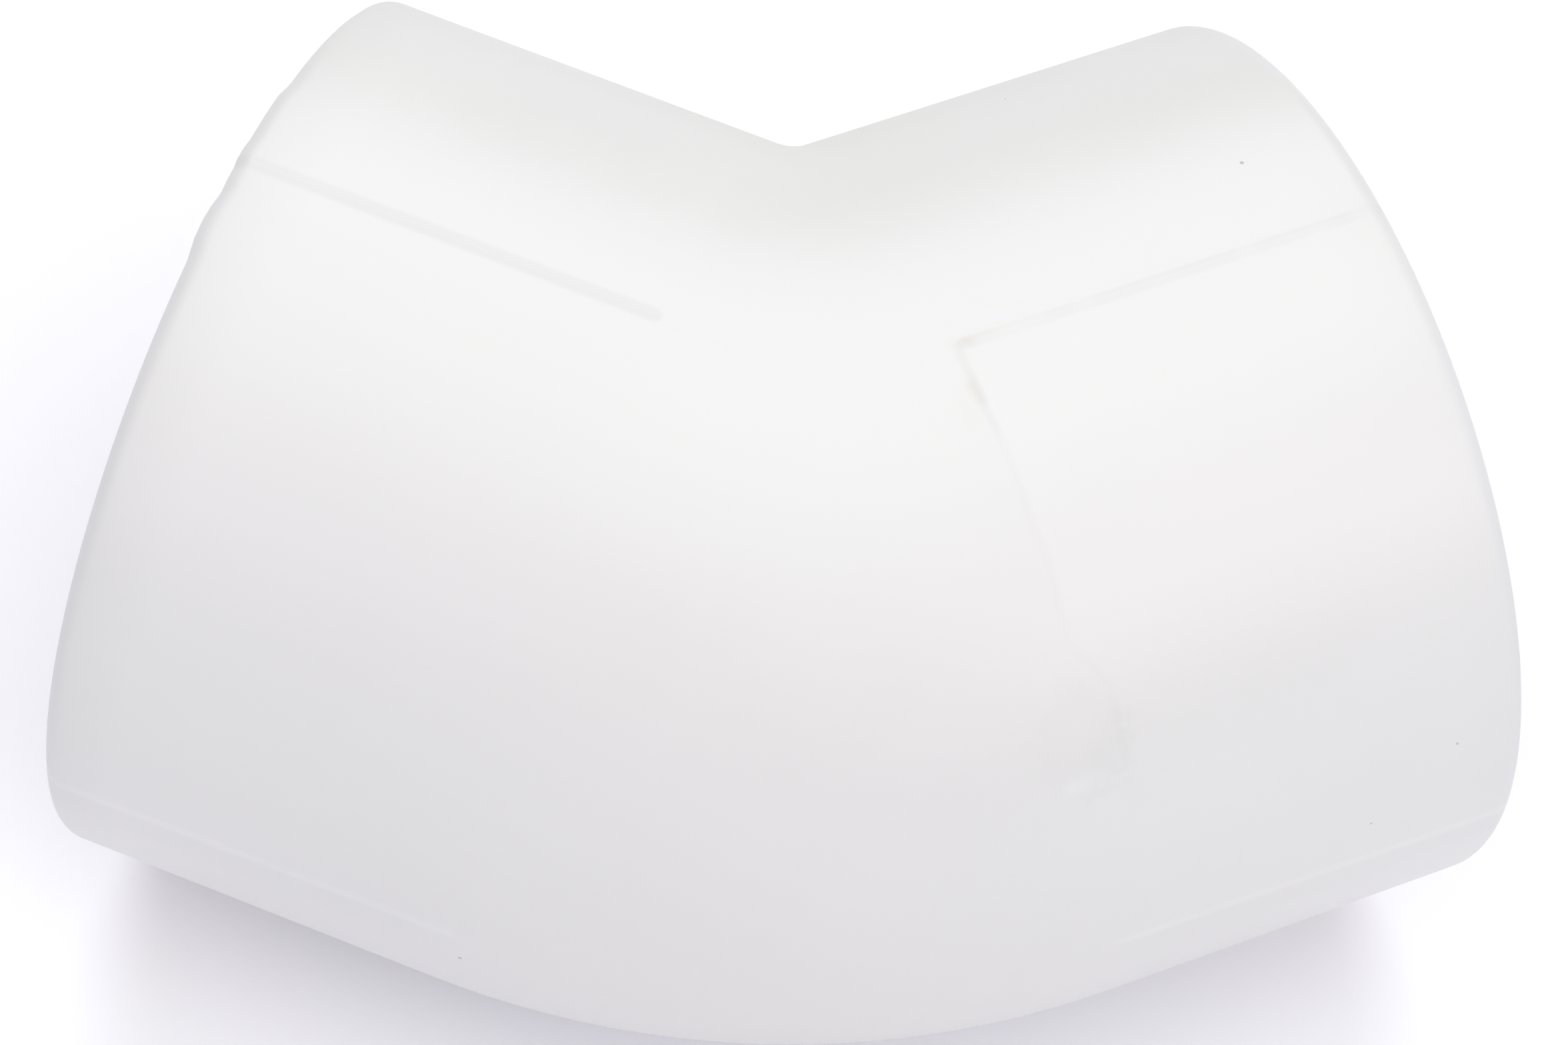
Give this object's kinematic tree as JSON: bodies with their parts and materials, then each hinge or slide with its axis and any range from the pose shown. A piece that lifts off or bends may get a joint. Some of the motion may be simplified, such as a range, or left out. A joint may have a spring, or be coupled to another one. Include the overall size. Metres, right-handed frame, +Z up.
{
  "type": "pipe elbow",
  "caption": "White moulded elbow that joins two pipes at 45 degrees, with a seal ring and a snap-in retaining ring in each mouth.",
  "frame": {"origin": "centre of the elbow's outline in plan, at the level it lies on", "axes": "+Z up, square to the plane of the bend; -Y towards the heel of the bend; +X towards the right mouth, with the left mouth its mirror image"},
  "size_m": [0.0896, 0.0654, 0.056],
  "materials": {
    "white_plastic": "satin injection-moulded white plastic",
    "seal_rubber": "smooth black rubber",
    "ring_plastic": "fine matt white plastic"
  },
  "bodies": {
    "root": {"elbow_body": "white_plastic", "left_seal_ring": "seal_rubber", "right_seal_ring": "seal_rubber", "left_retaining_ring": "ring_plastic", "right_retaining_ring": "ring_plastic"}
  },
  "joints": []
}
